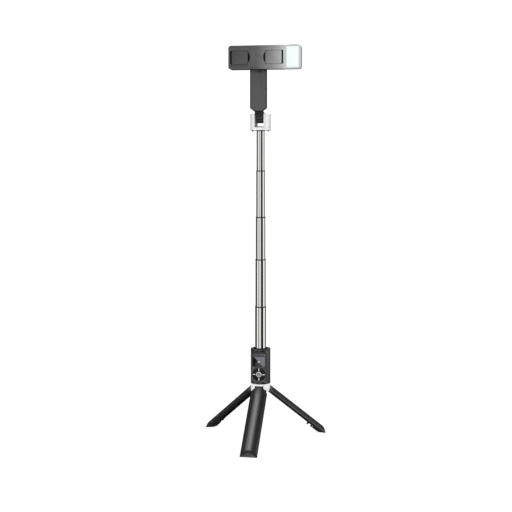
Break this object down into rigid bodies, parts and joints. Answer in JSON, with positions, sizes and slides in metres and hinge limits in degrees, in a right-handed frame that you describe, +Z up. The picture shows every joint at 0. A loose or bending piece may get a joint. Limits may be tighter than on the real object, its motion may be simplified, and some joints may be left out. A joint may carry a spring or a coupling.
{
  "type": "selfie stick",
  "caption": "Folding tripod selfie stick: telescopic pole, tilting and swivelling phone clamp with flip-out jaws and fill light, and a clip-in remote in the handle.",
  "frame": {"origin": "point on the floor under the pole axis", "axes": "+Z up along the pole, -Y the way the clamp, remote and front leg face, +X towards the fill light"},
  "size_m": [0.199, 0.1723, 0.6122],
  "materials": {
    "hub_plastic": "satin silver-white moulded plastic",
    "fork_plastic": "satin silver-white moulded plastic",
    "tube_steel": "polished stainless tube",
    "pin_steel": "turned steel",
    "screw_black": "blackened screws",
    "body_black": "fine-textured black plastic",
    "leg_black": "satin black plastic with a soft sheen",
    "guide_black": "black acetal",
    "foot_rubber": "matte rubber",
    "clamp_grey": "satin graphite plastic",
    "neck_grey": "satin graphite lacquer",
    "arm_black": "glass-filled black plastic",
    "rail_steel": "pressed steel rail",
    "spring_steel": "spring wire",
    "pad_rubber": "soft rubber pad",
    "light_shell": "translucent grey plastic",
    "light_panel": "lit diffuser, frosted white",
    "board_white": "white circuit board with light chips",
    "cell_wrap": "battery wrap",
    "button_grey": "satin grey plastic",
    "remote_black": "satin black plastic",
    "window_black": "polished black acrylic",
    "board_green": "green circuit board",
    "cell_steel": "coin cell can",
    "dial_black": "gloss black with four white marks",
    "key_silver": "silvered ring round a black centre"
  },
  "bodies": {
    "base": {"hub": "hub_plastic", "base_tube": "tube_steel", "base_mouth_ring": "guide_black", "leg_hinge_pins": "pin_steel", "grip_housing": "body_black", "housing_cap": "body_black", "housing_screws": "pin_steel"},
    "leg_front": {"leg_front_shell": "leg_black", "leg_front_cover": "leg_black", "leg_front_foot": "foot_rubber", "leg_front_screws": "screw_black"},
    "leg_right": {"leg_right_shell": "leg_black", "leg_right_cover": "leg_black", "leg_right_foot": "foot_rubber", "leg_right_screws": "screw_black"},
    "leg_left": {"leg_left_shell": "leg_black", "leg_left_cover": "leg_black", "leg_left_foot": "foot_rubber", "leg_left_screws": "screw_black"},
    "section_5": {"tube_5": "tube_steel", "tube_5_guides": "guide_black"},
    "section_4": {"tube_4": "tube_steel", "tube_4_guides": "guide_black"},
    "section_3": {"tube_3": "tube_steel", "tube_3_guides": "guide_black"},
    "section_2": {"tube_2": "tube_steel", "tube_2_guides": "guide_black"},
    "section_1": {"tube_1": "tube_steel", "tube_1_bush": "guide_black", "tube_plug": "guide_black"},
    "head": {"head_fork": "fork_plastic", "tilt_pin": "pin_steel", "fork_bumpers": "foot_rubber"},
    "neck": {"neck_arm": "arm_black", "neck_cover": "neck_grey", "friction_washers": "pin_steel"},
    "clamp": {"clamp_pivot": "pin_steel", "clamp_back": "arm_black", "clamp_front": "clamp_grey", "clamp_springs": "spring_steel", "right_jaw_pin": "pin_steel"},
    "slide_jaw": {"slide_shell": "clamp_grey", "slide_rail": "rail_steel", "left_jaw_pin": "pin_steel"},
    "left_jaw": {"left_jaw": "clamp_grey", "left_jaw_pad": "pad_rubber"},
    "right_jaw": {"right_jaw": "clamp_grey", "right_jaw_pad": "pad_rubber"},
    "light": {"light_housing": "light_shell", "light_diffuser": "light_panel", "light_board": "board_white", "light_battery": "cell_wrap"},
    "light_button": {"light_button": "button_grey"},
    "remote": {"remote_base": "remote_black", "remote_face": "remote_black", "remote_window": "window_black", "remote_board": "board_green", "coin_cell": "cell_steel"},
    "dial": {"dial_ring": "dial_black"},
    "centre_key": {"centre_key": "key_silver"}
  },
  "joints": [
    {"name": "leg_front_fold", "type": "hinge", "parent": "base", "child": "leg_front", "pos_m": [0, -0.011, 0.0825], "axis": [1, 0, 0], "range_deg": [0, 50.5]},
    {"name": "leg_right_fold", "type": "hinge", "parent": "base", "child": "leg_right", "pos_m": [0.00953, 0.0055, 0.0825], "axis": [-0.5, 0.866, 0], "range_deg": [0, 50.5]},
    {"name": "leg_left_fold", "type": "hinge", "parent": "base", "child": "leg_left", "pos_m": [-0.00953, 0.0055, 0.0825], "axis": [-0.5, -0.866, 0], "range_deg": [0, 50.5]},
    {"name": "section_5_slide", "type": "slide", "parent": "base", "child": "section_5", "axis": [0, 0, -1], "range_m": [-0.0078, 0.0649]},
    {"name": "section_4_slide", "type": "slide", "parent": "section_5", "child": "section_4", "axis": [0, 0, -1], "range_m": [-0.0004, 0.0733]},
    {"name": "section_3_slide", "type": "slide", "parent": "section_4", "child": "section_3", "axis": [0, 0, -1], "range_m": [-0.0097, 0.065]},
    {"name": "section_2_slide", "type": "slide", "parent": "section_3", "child": "section_2", "axis": [0, 0, -1], "range_m": [-0.0049, 0.0708]},
    {"name": "section_1_slide", "type": "slide", "parent": "section_2", "child": "section_1", "axis": [0, 0, -1], "range_m": [-0.0165, 0.0602]},
    {"name": "head_swivel", "type": "hinge", "parent": "section_1", "child": "head", "pos_m": [0, 0, 0.49], "axis": [0, 0, 1], "continuous": true},
    {"name": "neck_tilt", "type": "hinge", "parent": "head", "child": "neck", "pos_m": [0, 0, 0.5045], "axis": [-1, 0, 0], "range_deg": [-60, 175]},
    {"name": "clamp_spin", "type": "hinge", "parent": "neck", "child": "clamp", "pos_m": [0, -0.021, 0.5933], "axis": [0, 1, 0], "range_deg": [-90, 90]},
    {"name": "jaw_slide", "type": "slide", "parent": "clamp", "child": "slide_jaw", "axis": [1, 0, 0], "range_m": [-0.028, 0], "stiffness_N_per_m": 350, "springref_m": 0.01, "deforming": ["clamp_springs"]},
    {"name": "left_jaw_flip", "type": "hinge", "parent": "slide_jaw", "child": "left_jaw", "pos_m": [-0.034, -0.0336, 0.5933], "axis": [0, 0, 1], "range_deg": [-90, 0]},
    {"name": "right_jaw_flip", "type": "hinge", "parent": "clamp", "child": "right_jaw", "pos_m": [0.034, -0.0336, 0.5933], "axis": [0, 0, -1], "range_deg": [-90, 0]},
    {"name": "light_flip", "type": "hinge", "parent": "clamp", "child": "light", "pos_m": [0.0434, -0.02835, 0.5933], "axis": [1, 0, 0], "range_deg": [-180, 0]},
    {"name": "light_button_press", "type": "slide", "parent": "light", "child": "light_button", "axis": [0, 0, -1], "range_m": [0, 0.0005], "stiffness_N_per_m": 2000},
    {"name": "remote_release", "type": "slide", "parent": "base", "child": "remote", "axis": [0, 1, 0], "range_m": [-0.025, 0]},
    {"name": "dial_rock", "type": "hinge", "parent": "remote", "child": "dial", "pos_m": [0, -0.0144, 0.1051], "axis": [1, 0, 0], "range_deg": [-3, 3], "stiffness_Nm_per_rad": 1},
    {"name": "centre_key_press", "type": "slide", "parent": "remote", "child": "centre_key", "axis": [0, 1, 0], "range_m": [0, 0.0005], "stiffness_N_per_m": 2000}
  ]
}
